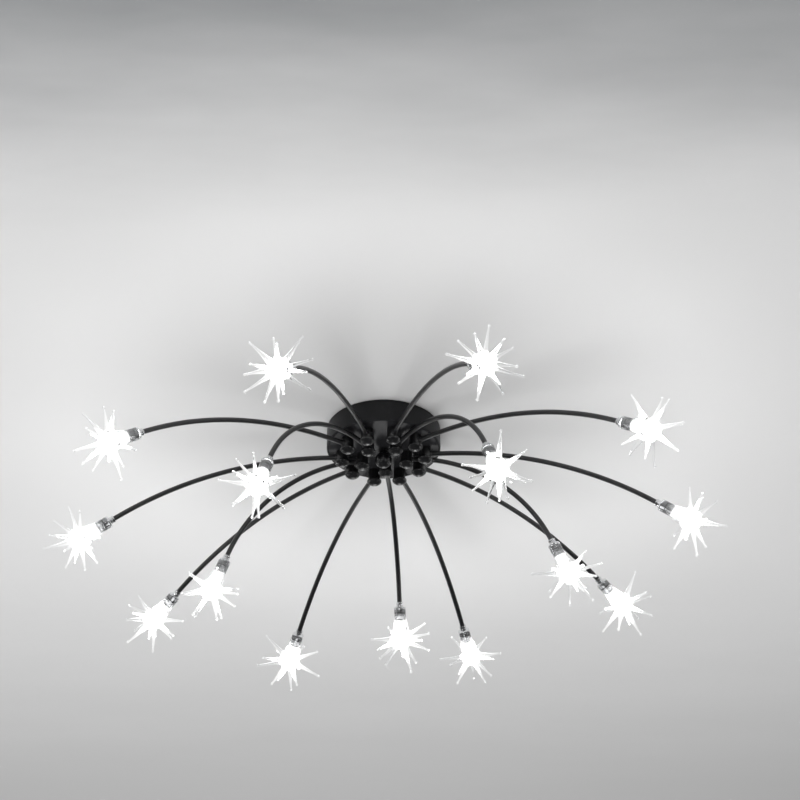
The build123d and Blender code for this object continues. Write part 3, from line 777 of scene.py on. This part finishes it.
class STARLIGHT_OT_arms(Operator):
    """Makes the curved tubes, the hubs that they swivel with and the hubs' domed caps"""
    bl_idname = "starlight.arms"
    bl_label = "Arms"
    bl_options = {"REGISTER", "UNDO"}
    ROOT_SHARE = 0.6  # where the tube starts in the hub, in hub radii
    SEAT = 4.0 * MM  # how far the tube runs on into the socket
    BEND_STEPS = 72
    TUBE_SIDES = 28
    HUB_SIDES = 56
    HUB_GAP = 0.5 * MM  # between the canopy and the hub
    LINE_HEIGHT = 0.5 * MM  # shadow line between the hub and its cap
    LINE_DEPTH = 0.7 * MM
    BRAZE = ((1.3, -2.2), (1.1, -0.2), (0.5, 0.7), (0.1, 1.5))  # mm out from the tube, mm along it
    BRAZE_INSIDE = 0.9  # radius of the braze in the tube, in tube radii
    BRAZE_ROUNDING = 0.3 * MM
    SCREW_TURN = radians(62.0)
    SCREW_LIFT = 1.0 * MM
    SCREW_ROOT = 0.6 * MM  # how far the screw starts inside the hub
    SCREW_ROUNDING = 0.15 * MM
    SCREW = ((1.0, 0.5), (0.75, 1.2), (0.45, 1.3), (0.42, 0.4), (0.0, 0.4))  # in radii, mm out from the hub
    CAP_SPIGOT = 1.0 * MM  # how far the cap's spigot is up in the hub, and in from the hub's side

    def tube(self, line):
        """The curved tube, from inside the hub into the socket."""
        s = settings().arm
        side = Vector((0, 1, 0))

        def build(bm):
            rings = []
            for (x, z), slope in line.points(self.ROOT_SHARE * s.hub, self.SEAT, self.BEND_STEPS):
                centre = Vector((x, 0, z))
                up = Vector((-sin(slope), 0, cos(slope)))
                ways = [up * sin(a) + side * cos(a) for a in turns(self.TUBE_SIDES)]
                rings.append([centre + s.tube * way for way in ways])
            add_rings(bm, rings)
        return mesh_from("arm_tube", build)

    def hub(self, line):
        """The hub with its braze, its lock screw and the shadow line above its cap."""
        s = settings().arm
        top = -self.HUB_GAP
        low = top - s.hub_length
        neck = s.hub - self.LINE_DEPTH
        shoulder = low + self.LINE_HEIGHT
        outline = [(0.0, top), (s.hub, top), (s.hub, shoulder), (neck, shoulder), (neck, low), (0.0, low)]

        def build(bm):
            lathe(bm, soften(outline, s.hub_edge), self.HUB_SIDES)
            self.braze(bm, line)
            self.screw(bm, line)
        return mesh_from("arm_hub", build)

    def braze(self, bm, line):
        """A fillet of braze where the tube enters the hub."""
        s = settings().arm
        x, z = line.at_start(s.hub)
        place = Matrix.Translation((x, 0, z)) @ Matrix.Rotation(pi / 2 - line.rise, 4, "Y")
        inside = s.tube * self.BRAZE_INSIDE
        fillet = [(s.tube + out * MM, along * MM) for out, along in self.BRAZE]
        outline = [(inside, fillet[0][1])] + fillet + [(inside, fillet[-1][1])]
        lathe(bm, soften(outline, self.BRAZE_ROUNDING, steps=2), segments=32, place=place)

    def screw(self, bm, line):
        """A round-headed lock screw beside the tube."""
        s = settings().arm
        turned = Matrix.Rotation(self.SCREW_TURN, 4, "Z") @ Matrix.Rotation(pi / 2, 4, "Y")
        place = Matrix.Translation((0, 0, line.root + self.SCREW_LIFT)) @ turned
        outline = [(s.screw, s.hub - self.SCREW_ROOT)]
        outline += [(radius * s.screw, s.hub + out * MM) for radius, out in self.SCREW]
        lathe(bm, soften(outline, self.SCREW_ROUNDING, steps=2), segments=24, place=place)

    def cap(self):
        """A domed cap with a straight band and a spigot in the hub."""
        s = settings().arm
        top = -self.HUB_GAP - s.hub_length
        band = top - s.cap_band
        spigot = s.hub - self.CAP_SPIGOT
        spigot_top = top + self.CAP_SPIGOT
        ball = (s.cap ** 2 + s.cap_dome ** 2) / (2 * s.cap_dome)
        half = acos((ball - s.cap_dome) / ball)
        dome = arc((0.0, band - s.cap_dome + ball), ball, half - pi / 2, -pi / 2, steps=18)
        outline = [(0.0, spigot_top), (spigot, spigot_top), (spigot, top), (s.cap, top), dome[0], dome[2]]
        outline = soften(outline, s.cap_edge) + dome[3:-1] + [(0.0, band - s.cap_dome)]
        return turned_mesh("hub_cap", outline, self.HUB_SIDES, smooth_angle=45.0)

    def execute(self, context):
        paint = satin_black("arm_paint", rough=0.3, peel=0.02, gloss=0.75, coat=0.1)
        cap_paint = smoother_black("cap_paint")
        cap = self.cap()
        for arm in read_arms():
            line = arm.line()
            kinds = [("arm_tube", self.tube(line), paint), ("arm_hub", self.hub(line), paint),
                     ("hub_cap", cap, cap_paint)]
            for name, mesh, finish in kinds:
                add_piece(f"{name}_{arm.tag}", mesh, finish, arm.body, arm.place(), [arm.body])
        return {"FINISHED"}


class STARLIGHT_OT_sockets(Operator):
    """Makes the chrome sockets, their ceramic holders and grip rings, and the capsule bulbs"""
    bl_idname = "starlight.sockets"
    bl_label = "Sockets"
    bl_options = {"REGISTER", "UNDO"}
    PLAY = 0.05 * MM  # between parts that slide into each other
    GROOVE = ((0.0, 0.6), (0.35, 1.0), (0.35, 1.8), (0.0, 2.2))  # mm into the collar, mm along it
    FILLET = 0.8 * MM  # where the collar starts to widen to the flange
    FLANGE_EDGE = 0.4 * MM
    RIBS = 5
    RIB_DEPTH = 0.25 * MM
    RIB_MARGIN = 1.5 * MM  # plain cup before and after the ribs
    MOUTH_EDGE = 0.3 * MM
    HOLLOW = ((0.6, 0.0), (0.55, 0.5), (0.0, 0.5))  # in bore radii, mm below the holder's top
    GRIP_SIDES = 12
    BULB_SHOULDER = 0.8 * MM
    SOCKET_ROUNDING = 0.2 * MM
    HOLDER_ROUNDING = 0.3 * MM
    BULB_ROUNDING = 0.4 * MM

    def face(self):
        """Height of the flange's face."""
        s = settings().socket
        return s.collar_length + s.flange_thick

    def socket(self):
        """Collar with a groove, flange, and a cup with ribs."""
        s = settings().socket
        face = self.face()
        mouth = face + s.cup_length
        bore = s.cup - s.cup_wall
        floor = face + s.floor
        outline = [(settings().arm.tube + self.PLAY, -s.collar_back), (s.collar, -s.collar_back)]
        outline += [(s.collar - depth * MM, z * MM) for depth, z in self.GROOVE]
        outline += [(s.collar, s.collar_length - self.FILLET),
                    (s.flange - self.FLANGE_EDGE, s.collar_length),
                    (s.flange, s.collar_length + self.FLANGE_EDGE), (s.flange, face), (s.cup, face)]
        pitch = (s.cup_length - s.grip_offset - 2 * self.RIB_MARGIN) / self.RIBS
        for n in range(self.RIBS):
            z = face + s.grip_offset + self.RIB_MARGIN + n * pitch
            outline += [(s.cup, z), (s.cup - self.RIB_DEPTH, z + 0.25 * pitch), (s.cup, z + 0.5 * pitch)]
        outline += [(s.cup, mouth - self.MOUTH_EDGE), (s.cup - self.MOUTH_EDGE, mouth), (bore, mouth),
                    (bore, floor), (0.0, floor)]
        return turned_mesh("lamp_socket", soften(outline, self.SOCKET_ROUNDING, steps=2), segments=48)

    def holder(self):
        """A ceramic plug with a hollow for the bulb."""
        s = settings().socket
        bore = s.cup - s.cup_wall - self.PLAY
        low = self.face() + s.floor
        high = low + s.holder_length
        outline = [(0.0, low), (bore, low), (bore, high)]
        outline += [(radius * bore, high - depth * MM) for radius, depth in self.HOLLOW]
        return turned_mesh("pin_holder", soften(outline, self.HOLDER_ROUNDING, steps=3), segments=40)

    def grip(self):
        """A rubber ring round the cup, which holds the glass."""
        s = settings().socket
        centre = (s.cup, self.face() + s.grip_offset)
        steps = self.GRIP_SIDES - 1
        section = arc(centre, s.grip, 0.0, 2 * pi * steps / self.GRIP_SIDES, steps)
        return turned_mesh("grip_ring", section, segments=48, smooth_angle=60.0, closed=True)

    def bulb(self):
        """A capsule with a round end on a narrower base."""
        s = settings().socket
        low = self.face() + s.floor + s.holder_length
        base = low + s.bulb_base_length
        glass = base + s.bulb_length
        outline = [(0.0, low), (s.bulb_base, low), (s.bulb_base, base), (s.bulb, base + self.BULB_SHOULDER),
                   (s.bulb, glass)]
        round_end = arc((0.0, glass), s.bulb, 0.0, pi / 2, steps=10)[1:-1]
        outline = soften(outline, self.BULB_ROUNDING, steps=3) + round_end + [(0.0, glass + s.bulb)]
        return turned_mesh("capsule_bulb", outline, segments=40, smooth_angle=50.0)

    def execute(self, context):
        kinds = [("lamp_socket_chrome", self.socket(), chrome()), ("pin_holder", self.holder(), ceramic()),
                 ("grip_ring", self.grip(), soft_rubber()), ("capsule_bulb", self.bulb(), bulb_glow())]
        for arm in read_arms():
            head = arm.head()
            for name, mesh, finish in kinds:
                add_piece(f"{name}_{arm.tag}", mesh, finish, arm.body, head,
                          [f"lamp_socket_{arm.tag}"])
        return {"FINISHED"}


class STARLIGHT_OT_stars(Operator):
    """Makes the blown-glass stars: a neck that flares into a hollow ball with drawn spikes"""
    bl_idname = "starlight.stars"
    bl_label = "Star shades"
    bl_options = {"REGISTER", "UNDO"}
    REACHES = (46.0, 40.0, 43.0, 36.0)  # mm from the ball's centre, for the spikes in turn
    ROOTS = (4.4, 3.3, 3.8)  # mm of radius at the ball, for the spikes in turn
    # painted glow of the spikes and of the ball's skin
    SPIKE_LIGHT = (0.26, 0.09, 0.2, 0.04, 0.14)  # for the spikes in turn
    SKIN_LIGHT = 0.8
    WOBBLE = (12.9898, 78.233)  # spreads the bends over the spikes and over the stars
    BALL_STEPS = 30
    SPIKE_STEPS = 14
    SPIKE_SIDES = 14
    TAPER = 1.8
    NECKING = 0.8  # thinnest radius of a spike, in tip radii
    BEAD = 1.25  # radius of the bead on a spike's tip, in tip radii
    BEAD_ANGLES = (-0.3, 0.15, 0.6, 1.0, 1.3)  # where the bead's rings are
    BACK_FADE = (-0.9, -0.3)  # along the neck's axis, in ball radii
    CORE_FADE = (0.3, 0.7)  # out from the hollow, in walls
    SKIN_FADE = (0.98, 1.2)  # out from the centre, in ball radii
    SPIKE_EDGE = (1.0, 1.6)  # off a spike's line, in root radii
    SPIKE_RISE = (0.85, 1.1)  # along a spike, in ball radii
    SPIKE_FADE = (1.2, 3.2)  # out from the centre, in ball radii
    SPIKE_LOSS = 0.4  # part of a spike's light that is gone at the end of its fade
    FLOW = 0.5  # how strongly a round smooths the melted surface
    FLOW_ROUNDS = 5

    def shell(self):
        """Outline of the neck and hollow ball, from the ball's centre, with no points on the axis."""
        s = settings().star
        start = s.neck_start - s.distance
        neck_end = start + s.neck_length
        touch = atan2(s.neck, -neck_end) + acos(s.ball / hypot(s.neck, neck_end))
        cavity = s.ball - s.wall
        mouth = -sqrt(cavity ** 2 - s.neck_bore ** 2)
        neck = [(s.neck_bore, start), (s.neck, start), (s.neck, neck_end)]
        outside = arc((0.0, 0.0), s.ball, touch - pi / 2, pi / 2, self.BALL_STEPS)[:-1]
        inside = arc((0.0, 0.0), cavity, pi / 2, atan2(mouth, s.neck_bore), self.BALL_STEPS)[1:]
        return neck + outside + inside

    def spikes(self, variant):
        """Direction, reach, root radius and sideways bend of each spike."""
        s = settings().star
        spikes = []
        for n in range(s.spikes):
            part = (n + 0.5) / s.spikes
            lean = acos(1 - part * (1 - cos(s.back)))
            about = n * GOLDEN_ANGLE
            direction = Vector((sin(lean) * cos(about), sin(lean) * sin(about), cos(lean)))
            reach = self.REACHES[n % len(self.REACHES)] * MM
            root = self.ROOTS[n % len(self.ROOTS)] * MM
            wobble = sin(self.WOBBLE[0] * n + self.WOBBLE[1] * variant)
            spikes.append((direction, reach, root, s.wander * wobble))
        return spikes

    def spike(self, bm, direction, reach, root, bend):
        """A drawn spike that tapers from inside the ball's wall to a round bead."""
        s = settings().star
        foot = s.ball - s.root_depth
        bead = reach - s.tip
        thin = s.tip * self.NECKING
        rings = []
        for n in range(self.SPIKE_STEPS + 1):
            t = n / self.SPIKE_STEPS
            radius = thin + (root - thin) * (1 - t) ** self.TAPER
            rings.append((foot + (bead - foot) * t, radius, bend * (reach - foot) * t * t))
        off = rings[-1][2]
        rings += [(bead + s.tip * sin(a), s.tip * self.BEAD * cos(a), off) for a in self.BEAD_ANGLES]
        turned = direction.to_track_quat("Z", "Y").to_matrix().to_4x4()
        loops = []
        for z, radius, off in rings:
            loops.append([turned @ Vector((off + radius * cos(a), radius * sin(a), z))
                          for a in turns(self.SPIKE_SIDES)])
        add_rings(bm, loops)

    def star(self, variant):
        """A star's shell and spikes, still as separate pieces."""
        def build(bm):
            lathe(bm, self.shell(), segments=64)
            for spike in self.spikes(variant):
                self.spike(bm, *spike)
        return mesh_from(f"star_glass_{variant}", build)

    def light(self, mesh, variant):
        """Stores how much painted glow each point of the glass gives, for the bulb's light carried in the
        glass.

        It is most in the ball's hollow, some along the lit spikes and none at the neck.
        """
        s = settings().star
        glow = mesh.attributes.new(GLOW, "FLOAT", "POINT")
        spikes = self.spikes(variant)
        ways = [direction for direction, *_ in spikes]
        hollow = s.ball - s.wall
        for point, value in zip(mesh.vertices, glow.data):
            reach = point.co.length
            nearest = max(range(len(ways)), key=lambda n: ways[n].dot(point.co))
            along = ways[nearest].dot(point.co)
            off = sqrt(max(reach ** 2 - along ** 2, 0.0))
            root = spikes[nearest][2]
            ahead = fade(point.co.z, self.BACK_FADE, s.ball)
            core = 1.0 - fade(reach, self.CORE_FADE, s.wall, start=hollow)
            skin = self.SKIN_LIGHT * (1.0 - fade(reach, self.SKIN_FADE, s.ball))
            near = 1.0 - fade(off, self.SPIKE_EDGE, root)
            lit = self.SPIKE_LIGHT[(nearest + variant) % len(self.SPIKE_LIGHT)]
            spike = near * fade(along, self.SPIKE_RISE, s.ball) * lit
            spike *= 1.0 - self.SPIKE_LOSS * fade(reach, self.SPIKE_FADE, s.ball)
            value.value = max(ahead * max(core, skin), spike)

    def blown(self, variant):
        """Melts the pieces of a star into one smooth surface."""
        mesh = self.star(variant)
        mould = add_to_scene("star_mould", mesh)
        melt = mould.modifiers.new("Melt", "REMESH")
        melt.mode = "VOXEL"
        melt.voxel_size = settings().star.voxel
        flow = mould.modifiers.new("Flow", "SMOOTH")
        flow.factor = self.FLOW
        flow.iterations = self.FLOW_ROUNDS
        graph = bpy.context.evaluated_depsgraph_get()
        blown = bpy.data.meshes.new_from_object(mould.evaluated_get(graph))
        blown.name = mesh.name
        blown.materials.clear()
        blown.shade_smooth()
        bpy.data.objects.remove(mould)
        self.light(blown, variant)
        return blown

    def execute(self, context):
        glass = star_glass()
        along = Matrix.Translation((0, 0, settings().star.distance))
        for arm in read_arms():
            spin = Matrix.Rotation(GOLDEN_ANGLE * arm.number(), 4, "Z")
            place = arm.head() @ spin @ along
            mesh = self.blown(arm.number())
            mesh.transform(place.to_3x3().to_4x4())
            star = add_piece(f"star_glass_{arm.tag}", mesh, glass, arm.star_body,
                             Matrix.Translation(place.translation), [f"star_shade_{arm.tag}"])
            star.visible_shadow = False
        return {"FINISHED"}


class STARLIGHT_OT_fittings(Operator):
    """Finishes the fittings inside the canopy"""
    bl_idname = "starlight.fittings"
    bl_label = "Inner fittings"
    bl_options = {"REGISTER", "UNDO"}

    def execute(self, context):
        groups = {
            zinc_plate: ["crossbar", "small_screws", "centre_rod", "rod_nut", "nipple_washers"],
            machined_brass: ["nipples", "nipple_lock_nuts", "hub_retainers"],
            moulded_plastic: ["led_driver", "terminal_block"],
            soft_rubber: ["friction_washers", "mains_leads", "wiring_loom"],
        }
        for make, nodes in groups.items():
            finish = make()
            for name in nodes:
                node = frame["nodes"][name]
                node.data.materials.clear()
                node.data.materials.append(finish)
        return {"FINISHED"}


@dataclass
class AreaLamp:
    """A rectangular lamp that the camera doesn't see. Lengths are in metres and power in watts."""
    name: str
    place: tuple
    target: tuple
    power: float
    width: float
    height: float
    mirrored: bool


class STARLIGHT_OT_stage(Operator):
    """Makes the pale ceiling, the lamps and the camera"""
    bl_idname = "starlight.stage"
    bl_label = "Stage"
    bl_options = {"REGISTER", "UNDO"}
    LAMPS = (
        AreaLamp("below", place=(-0.7, -0.3, -3.2), target=(-0.1, 0, 0), power=108.0,
                 width=3.4, height=3.4, mirrored=False),
        AreaLamp("window", place=(0.05, 2.2, -1.3), target=(0, 0, -0.05), power=6.0,
                 width=0.9, height=1.9, mirrored=True),
        AreaLamp("pane", place=(0.02, 2.15, -1.3), target=(0, 0, -0.05), power=1.0,
                 width=0.2, height=1.9, mirrored=True),
    )
    CEILING_SIDES = 64
    CEILING_LIFT = 0.5 * MM
    SHADE_SHIFT = (0.0, 0.06, 0.0)  # from the middle of the painted shade on the ceiling to the canopy
    STREAK = 0.2  # how far the streaks move the painted shade and light on the ceiling, in metres
    UNDER_TO_RING = (0.2, 1.0)  # spans of the blends between the painted shade and light on the ceiling; these four are in ring radii
    RING_TO_FAR = (0.5, 3.2)
    FAR_TO_FRONT = (-6.0, -2.6)
    FRONT_TO_RING = (-2.4, -1.0)
    FLOOR_TO_WALLS = (-0.75, 0.05)  # these three are heights on the world's sphere
    WALLS_TO_BACKDROP = (0.1, 0.5)
    SEEN_THROUGH_GLASS = (-0.7, -0.1)
    SENSOR = 36.0  # mm across
    CLIP = (0.05, 50.0)  # metres

    def ceiling_paint(self):
        """Pale paint with painted shade close round the canopy, a painted pool of light over the ring of
        stars and painted dimming to the far and near sides, clear from above.
        """
        s = settings().stage

        def rings(value, span):
            return value.step(span[0] * s.ring, span[1] * s.ring)

        f = Finish("pale_ceiling", Roughness=0.9, Specular_IOR_Level=0.1)
        place = f.place()
        away = f.vector_math("LENGTH", f.vector_math("ADD", place, self.SHADE_SHIFT), out="Value")
        streaks = f.noise(scale=5.0, detail=4.0, roughness=0.6, stretch=(0.35, 1, 1))
        depth = f.part(place, "Y") + (streaks - 0.5) * self.STREAK
        # Painted shade round the canopy, a painted pool of light over the ring, and painted dimming to the
        # far and near sides.
        around = f.mix(rings(away, self.UNDER_TO_RING), s.ceiling_painted_shade, s.ceiling_painted_light)
        past = f.mix(rings(depth, self.RING_TO_FAR), around, s.ceiling_far_painted_dim)
        front = f.mix(rings(depth, self.FAR_TO_FRONT), s.ceiling_far_painted_dim, s.ceiling_near_painted_shade)
        f.shade(Base_Color=f.mix(rings(depth, self.FRONT_TO_RING), front, past))
        clear = f.node("BsdfTransparent")
        behind = f.node("NewGeometry", out="Backfacing")
        shown = f.node("MixShader", sockets=[behind, Value(f, f.shader.outputs[0]), clear])
        f.tree.links.new(shown.socket, f.output.inputs["Surface"])
        return f.material

    def ceiling(self):
        """A flat ceiling with a round opening over the canopy."""
        s = settings().stage
        mesh = bpy.data.meshes.new("ceiling")
        bm = bmesh.new()
        edge, opening = [[bm.verts.new((radius * cos(a), radius * sin(a), 0.0))
                          for a in turns(self.CEILING_SIDES)] for radius in (s.ceiling_radius, s.opening)]
        for n in range(self.CEILING_SIDES):
            bm.faces.new((edge[n - 1], opening[n - 1], opening[n], edge[n]))
        bm.normal_update()
        bm.to_mesh(mesh)
        bm.free()
        mesh.materials.append(self.ceiling_paint())
        ceiling = add_to_scene("ceiling", mesh)
        ceiling.location.z = self.CEILING_LIFT

    def world(self):
        """A dim room below and pale walls, with a plain backdrop where the camera sees past the ceiling."""
        s = settings().stage
        world = bpy.data.worlds.new("studio")
        world.use_nodes = True
        f = Finish.for_world(world)
        height = f.part(f.node("TexCoord", out="Generated"), "Z")
        sides = f.mix(height.step(*self.FLOOR_TO_WALLS), s.room_floor, s.room_walls)
        room = f.mix(height.step(*self.WALLS_TO_BACKDROP), sides, s.backdrop)
        through = f.node("LightPath", out="Is Transmission Ray") * height.step(*self.SEEN_THROUGH_GLASS)
        seen = f.node("LightPath", out="Is Camera Ray") + through
        f.shade(Color=f.mix(seen.step(0.0, 1.0), room, s.backdrop), Strength=1.0)
        bpy.context.scene.world = world

    def lamp(self, kind):
        """An area lamp. One that isn't mirrored lights the paint but makes no gleam."""
        light = bpy.data.lights.new(kind.name, "AREA")
        light.energy = kind.power
        light.shape = "RECTANGLE"
        light.size = kind.width
        light.size_y = kind.height
        lamp = add_to_scene(kind.name, light)
        lamp.location = kind.place
        aim(lamp, Vector(kind.target) - Vector(kind.place))
        lamp.visible_camera = False
        lamp.visible_glossy = kind.mirrored

    def star_lamps(self):
        """A small lamp in each star, for the gleams on the paint."""
        s = settings()
        for arm in read_arms():
            light = bpy.data.lights.new(f"star_lamp_{arm.tag}", "POINT")
            light.energy = s.stage.star_power
            light.shadow_soft_size = s.star.ball - s.star.wall
            lamp = add_to_scene(light.name, light)
            lamp.location = arm.head() @ Vector((0, 0, s.star.distance))

    def camera(self):
        """A camera that looks up at the light from the front."""
        s = settings().stage
        data = bpy.data.cameras.new("camera")
        data.lens = s.lens
        data.sensor_width = self.SENSOR
        data.clip_start, data.clip_end = self.CLIP
        camera = add_to_scene("camera", data)
        ahead = Vector((0, cos(s.elevation), sin(s.elevation)))
        camera.location = Vector(s.target) - ahead * s.distance
        aim(camera, ahead)
        bpy.context.scene.camera = camera

    def execute(self, context):
        self.ceiling()
        self.world()
        for kind in self.LAMPS:
            self.lamp(kind)
        self.star_lamps()
        self.camera()
        bpy.context.scene.view_settings.view_transform = "Standard"
        return {"FINISHED"}


OPERATORS = (STARLIGHT_OT_canopy, STARLIGHT_OT_finial, STARLIGHT_OT_arms, STARLIGHT_OT_sockets,
             STARLIGHT_OT_stars, STARLIGHT_OT_fittings, STARLIGHT_OT_stage)


class STARLIGHT_PT_panel(Panel):
    """Lists the operators"""
    bl_idname = "STARLIGHT_PT_panel"
    bl_label = "Star Light"
    bl_space_type = "VIEW_3D"
    bl_region_type = "UI"
    bl_category = "Star Light"

    def draw(self, context):
        for operator in OPERATORS:
            self.layout.operator(operator.bl_idname)


CLASSES = (CanopySizes, ArmSizes, SocketSizes, StarSizes, Finishes, StageLook, StarLight, *OPERATORS,
           STARLIGHT_PT_panel)


def register():
    """Registers the settings, the operators and the panel."""
    for cls in CLASSES:
        bpy.utils.register_class(cls)
    bpy.types.Scene.star_light = PointerProperty(type=StarLight)


def unregister():
    """Takes back what register did."""
    del bpy.types.Scene.star_light
    for cls in reversed(CLASSES):
        bpy.utils.unregister_class(cls)


def main():
    """Makes all pieces and the stage."""
    register()
    for operator in OPERATORS:
        group, name = operator.bl_idname.split(".")
        getattr(getattr(bpy.ops, group), name)()


if __name__ == "__main__":
    main()
